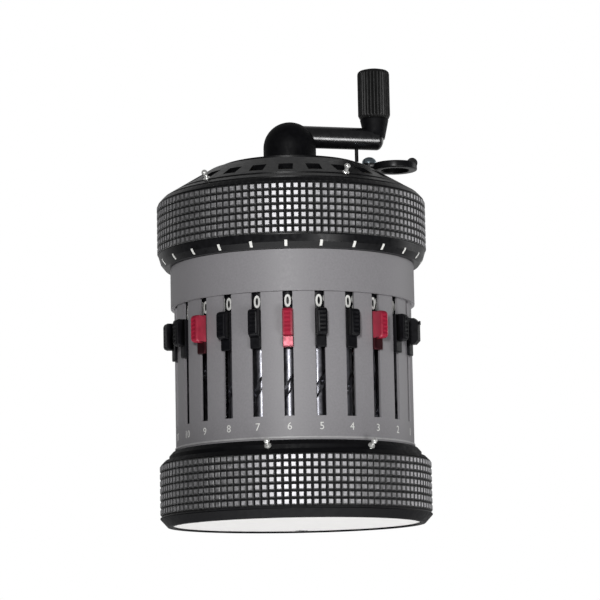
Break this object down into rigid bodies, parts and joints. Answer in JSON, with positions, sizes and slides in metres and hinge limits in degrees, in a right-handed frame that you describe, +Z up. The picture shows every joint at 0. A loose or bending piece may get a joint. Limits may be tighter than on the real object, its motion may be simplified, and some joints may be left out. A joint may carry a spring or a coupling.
{
  "type": "mechanical pocket calculator",
  "caption": "Cylindrical hand-cranked pocket calculator with setting sliders in slots, a knurled turning carriage, a finger-ring clearing lever and a crank on top.",
  "frame": {"origin": "centre of the machine's axis on the plane of its underside", "axes": "+Z up along the axis, -Y through the middle setting column, +X to the right of it"},
  "size_m": [0.065, 0.0652, 0.1119],
  "materials": {
    "black_enamel": "gloss",
    "grey_enamel": "satin",
    "white_enamel": "satin",
    "black_dial": "satin",
    "brass": "machined",
    "steel": "polished",
    "light_metal": "machined",
    "knob_black": "ribbed",
    "slider_black": "gloss",
    "slider_red": "gloss"
  },
  "bodies": {
    "frame": {"base_ring": "black_enamel", "bottom_plate": "white_enamel", "casing_screws": "steel", "lower_bearing_plate": "brass", "slotted_sleeve": "grey_enamel", "upper_collar": "grey_enamel", "upper_bearing_plate": "brass", "frame_pillars": "steel", "pillar_screws": "steel", "transmission_shafts": "steel", "upper_bush": "brass"},
    "crank_lifter": {"lift_bush": "brass"},
    "crank": {"main_shaft": "steel", "shaft_clip": "steel", "step_drum": "light_metal", "carry_bell": "light_metal", "crank_arm": "black_enamel", "crank_home_pin": "steel", "knob_spindle": "steel"},
    "knob": {"crank_knob": "knob_black"},
    "carriage_lift_tube": {"carriage_lifter": "steel"},
    "carriage": {"index_band": "black_enamel", "dial_plate": "brass", "carriage_ring": "black_enamel", "carriage_lid": "black_enamel", "dial_ring": "brass", "dial_axles": "steel", "result_dials": "black_dial", "counter_dials": "white_enamel"},
    "units_dial": {"counter_units_dial": "white_enamel"},
    "clearing": {"clearing_plate": "black_enamel", "lever_pivot": "steel"},
    "finger_lever": {"clearing_lever": "black_enamel"},
    "base_marker_left": {"base_decimal_marker_left": "white_enamel"},
    "base_marker_right": {"base_decimal_marker_right": "white_enamel"},
    "lid_marker_left": {"lid_decimal_marker_left": "white_enamel"},
    "lid_marker_right": {"lid_decimal_marker_right": "white_enamel"},
    "reverser": {"reversing_lever": "black_enamel"},
    "slider_01": {"setting_slider_01": "slider_black"},
    "shaft_01": {"setting_shaft_01": "steel"},
    "slider_02": {"setting_slider_02": "slider_black"},
    "shaft_02": {"setting_shaft_02": "steel"},
    "slider_03": {"setting_slider_03": "slider_red"},
    "shaft_03": {"setting_shaft_03": "steel"},
    "slider_04": {"setting_slider_04": "slider_black"},
    "shaft_04": {"setting_shaft_04": "steel"},
    "slider_05": {"setting_slider_05": "slider_black"},
    "shaft_05": {"setting_shaft_05": "steel"},
    "slider_06": {"setting_slider_06": "slider_red"},
    "shaft_06": {"setting_shaft_06": "steel"},
    "slider_07": {"setting_slider_07": "slider_black"},
    "shaft_07": {"setting_shaft_07": "steel"},
    "slider_08": {"setting_slider_08": "slider_black"},
    "shaft_08": {"setting_shaft_08": "steel"},
    "slider_09": {"setting_slider_09": "slider_red"},
    "shaft_09": {"setting_shaft_09": "steel"},
    "slider_10": {"setting_slider_10": "slider_black"},
    "shaft_10": {"setting_shaft_10": "steel"},
    "slider_11": {"setting_slider_11": "slider_black"},
    "shaft_11": {"setting_shaft_11": "steel"}
  },
  "joints": [
    {"name": "slider_01_slide", "type": "slide", "parent": "frame", "child": "slider_01", "axis": [0, 0, -1], "range_m": [0, 0.018]},
    {"name": "shaft_01_turn", "type": "hinge", "parent": "frame", "child": "shaft_01", "pos_m": [-0.0241, -0.00646, 0.03], "axis": [0, 0, 1], "range_deg": [0, 324.5]},
    {"name": "slider_02_slide", "type": "slide", "parent": "frame", "child": "slider_02", "axis": [0, 0, -1], "range_m": [0, 0.018]},
    {"name": "shaft_02_turn", "type": "hinge", "parent": "frame", "child": "shaft_02", "pos_m": [-0.02161, -0.01247, 0.03], "axis": [0, 0, 1], "range_deg": [0, 324.5]},
    {"name": "slider_03_slide", "type": "slide", "parent": "frame", "child": "slider_03", "axis": [0, 0, -1], "range_m": [0, 0.018]},
    {"name": "shaft_03_turn", "type": "hinge", "parent": "frame", "child": "shaft_03", "pos_m": [-0.01764, -0.01764, 0.03], "axis": [0, 0, 1], "range_deg": [0, 324.5]},
    {"name": "slider_04_slide", "type": "slide", "parent": "frame", "child": "slider_04", "axis": [0, 0, -1], "range_m": [0, 0.018]},
    {"name": "shaft_04_turn", "type": "hinge", "parent": "frame", "child": "shaft_04", "pos_m": [-0.01247, -0.02161, 0.03], "axis": [0, 0, 1], "range_deg": [0, 324.5]},
    {"name": "slider_05_slide", "type": "slide", "parent": "frame", "child": "slider_05", "axis": [0, 0, -1], "range_m": [0, 0.018]},
    {"name": "shaft_05_turn", "type": "hinge", "parent": "frame", "child": "shaft_05", "pos_m": [-0.00646, -0.0241, 0.03], "axis": [0, 0, 1], "range_deg": [0, 324.5]},
    {"name": "slider_06_slide", "type": "slide", "parent": "frame", "child": "slider_06", "axis": [0, 0, -1], "range_m": [0, 0.018]},
    {"name": "shaft_06_turn", "type": "hinge", "parent": "frame", "child": "shaft_06", "pos_m": [0, -0.02495, 0.03], "axis": [0, 0, 1], "range_deg": [0, 324.5]},
    {"name": "slider_07_slide", "type": "slide", "parent": "frame", "child": "slider_07", "axis": [0, 0, -1], "range_m": [0, 0.018]},
    {"name": "shaft_07_turn", "type": "hinge", "parent": "frame", "child": "shaft_07", "pos_m": [0.00646, -0.0241, 0.03], "axis": [0, 0, 1], "range_deg": [0, 324.5]},
    {"name": "slider_08_slide", "type": "slide", "parent": "frame", "child": "slider_08", "axis": [0, 0, -1], "range_m": [0, 0.018]},
    {"name": "shaft_08_turn", "type": "hinge", "parent": "frame", "child": "shaft_08", "pos_m": [0.01247, -0.02161, 0.03], "axis": [0, 0, 1], "range_deg": [0, 324.5]},
    {"name": "slider_09_slide", "type": "slide", "parent": "frame", "child": "slider_09", "axis": [0, 0, -1], "range_m": [0, 0.018]},
    {"name": "shaft_09_turn", "type": "hinge", "parent": "frame", "child": "shaft_09", "pos_m": [0.01764, -0.01764, 0.03], "axis": [0, 0, 1], "range_deg": [0, 324.5]},
    {"name": "slider_10_slide", "type": "slide", "parent": "frame", "child": "slider_10", "axis": [0, 0, -1], "range_m": [0, 0.018]},
    {"name": "shaft_10_turn", "type": "hinge", "parent": "frame", "child": "shaft_10", "pos_m": [0.02161, -0.01247, 0.03], "axis": [0, 0, 1], "range_deg": [0, 324.5]},
    {"name": "slider_11_slide", "type": "slide", "parent": "frame", "child": "slider_11", "axis": [0, 0, -1], "range_m": [0, 0.018]},
    {"name": "shaft_11_turn", "type": "hinge", "parent": "frame", "child": "shaft_11", "pos_m": [0.0241, -0.00646, 0.03], "axis": [0, 0, 1], "range_deg": [0, 324.5]},
    {"name": "crank_lift", "type": "slide", "parent": "frame", "child": "crank_lifter", "axis": [0, 0, 1], "range_m": [0, 0.003]},
    {"name": "crank_turn", "type": "hinge", "parent": "crank_lifter", "child": "crank", "pos_m": [0, 0, 0.0947], "axis": [0, 0, 1], "continuous": true},
    {"name": "knob_spin", "type": "hinge", "parent": "crank", "child": "knob", "pos_m": [0.02066, 0.00632, 0.106], "axis": [0, 0, 1], "continuous": true},
    {"name": "carriage_lift", "type": "slide", "parent": "frame", "child": "carriage_lift_tube", "axis": [0, 0, 1], "range_m": [0, 0.002], "stiffness_N_per_m": 500},
    {"name": "carriage_turn", "type": "hinge", "parent": "carriage_lift_tube", "child": "carriage", "pos_m": [0, 0, 0.07], "axis": [0, 0, 1], "range_deg": [0, 105]},
    {"name": "units_dial_turn", "type": "hinge", "parent": "carriage", "child": "units_dial", "pos_m": [0.0117, 0.02027, 0.07894], "axis": [-0.4295, -0.7438, 0.5121], "continuous": true},
    {"name": "clearing_turn", "type": "hinge", "parent": "carriage", "child": "clearing", "pos_m": [0, 0, 0.086], "axis": [0, 0, 1], "continuous": true},
    {"name": "lever_fold", "type": "hinge", "parent": "clearing", "child": "finger_lever", "pos_m": [0.01923, 0.00168, 0.087], "axis": [0, 0, 1], "range_deg": [0, 50]},
    {"name": "reverser_slide", "type": "slide", "parent": "frame", "child": "reverser", "axis": [0, 0, -1], "range_m": [0, 0.005]},
    {"name": "base_marker_left_turn", "type": "hinge", "parent": "frame", "child": "base_marker_left", "pos_m": [0, 0, 0.017], "axis": [0, 0, 1], "range_deg": [-20, 20]},
    {"name": "base_marker_right_turn", "type": "hinge", "parent": "frame", "child": "base_marker_right", "pos_m": [0, 0, 0.017], "axis": [0, 0, 1], "range_deg": [-20, 20]},
    {"name": "lid_marker_left_turn", "type": "hinge", "parent": "carriage", "child": "lid_marker_left", "pos_m": [0, 0, 0.081], "axis": [0, 0, 1], "range_deg": [-20, 20]},
    {"name": "lid_marker_right_turn", "type": "hinge", "parent": "carriage", "child": "lid_marker_right", "pos_m": [0, 0, 0.081], "axis": [0, 0, 1], "range_deg": [-20, 20]}
  ],
  "couplings": [
    {"joint": "shaft_01_turn", "follows": "slider_01_slide", "rad_per_m": 314.16},
    {"joint": "shaft_02_turn", "follows": "slider_02_slide", "rad_per_m": 314.16},
    {"joint": "shaft_03_turn", "follows": "slider_03_slide", "rad_per_m": 314.16},
    {"joint": "shaft_04_turn", "follows": "slider_04_slide", "rad_per_m": 314.16},
    {"joint": "shaft_05_turn", "follows": "slider_05_slide", "rad_per_m": 314.16},
    {"joint": "shaft_06_turn", "follows": "slider_06_slide", "rad_per_m": 314.16},
    {"joint": "shaft_07_turn", "follows": "slider_07_slide", "rad_per_m": 314.16},
    {"joint": "shaft_08_turn", "follows": "slider_08_slide", "rad_per_m": 314.16},
    {"joint": "shaft_09_turn", "follows": "slider_09_slide", "rad_per_m": 314.16},
    {"joint": "shaft_10_turn", "follows": "slider_10_slide", "rad_per_m": 314.16},
    {"joint": "shaft_11_turn", "follows": "slider_11_slide", "rad_per_m": 314.16},
    {"joint": "units_dial_turn", "follows": "crank_turn", "ratio": 0.1}
  ]
}
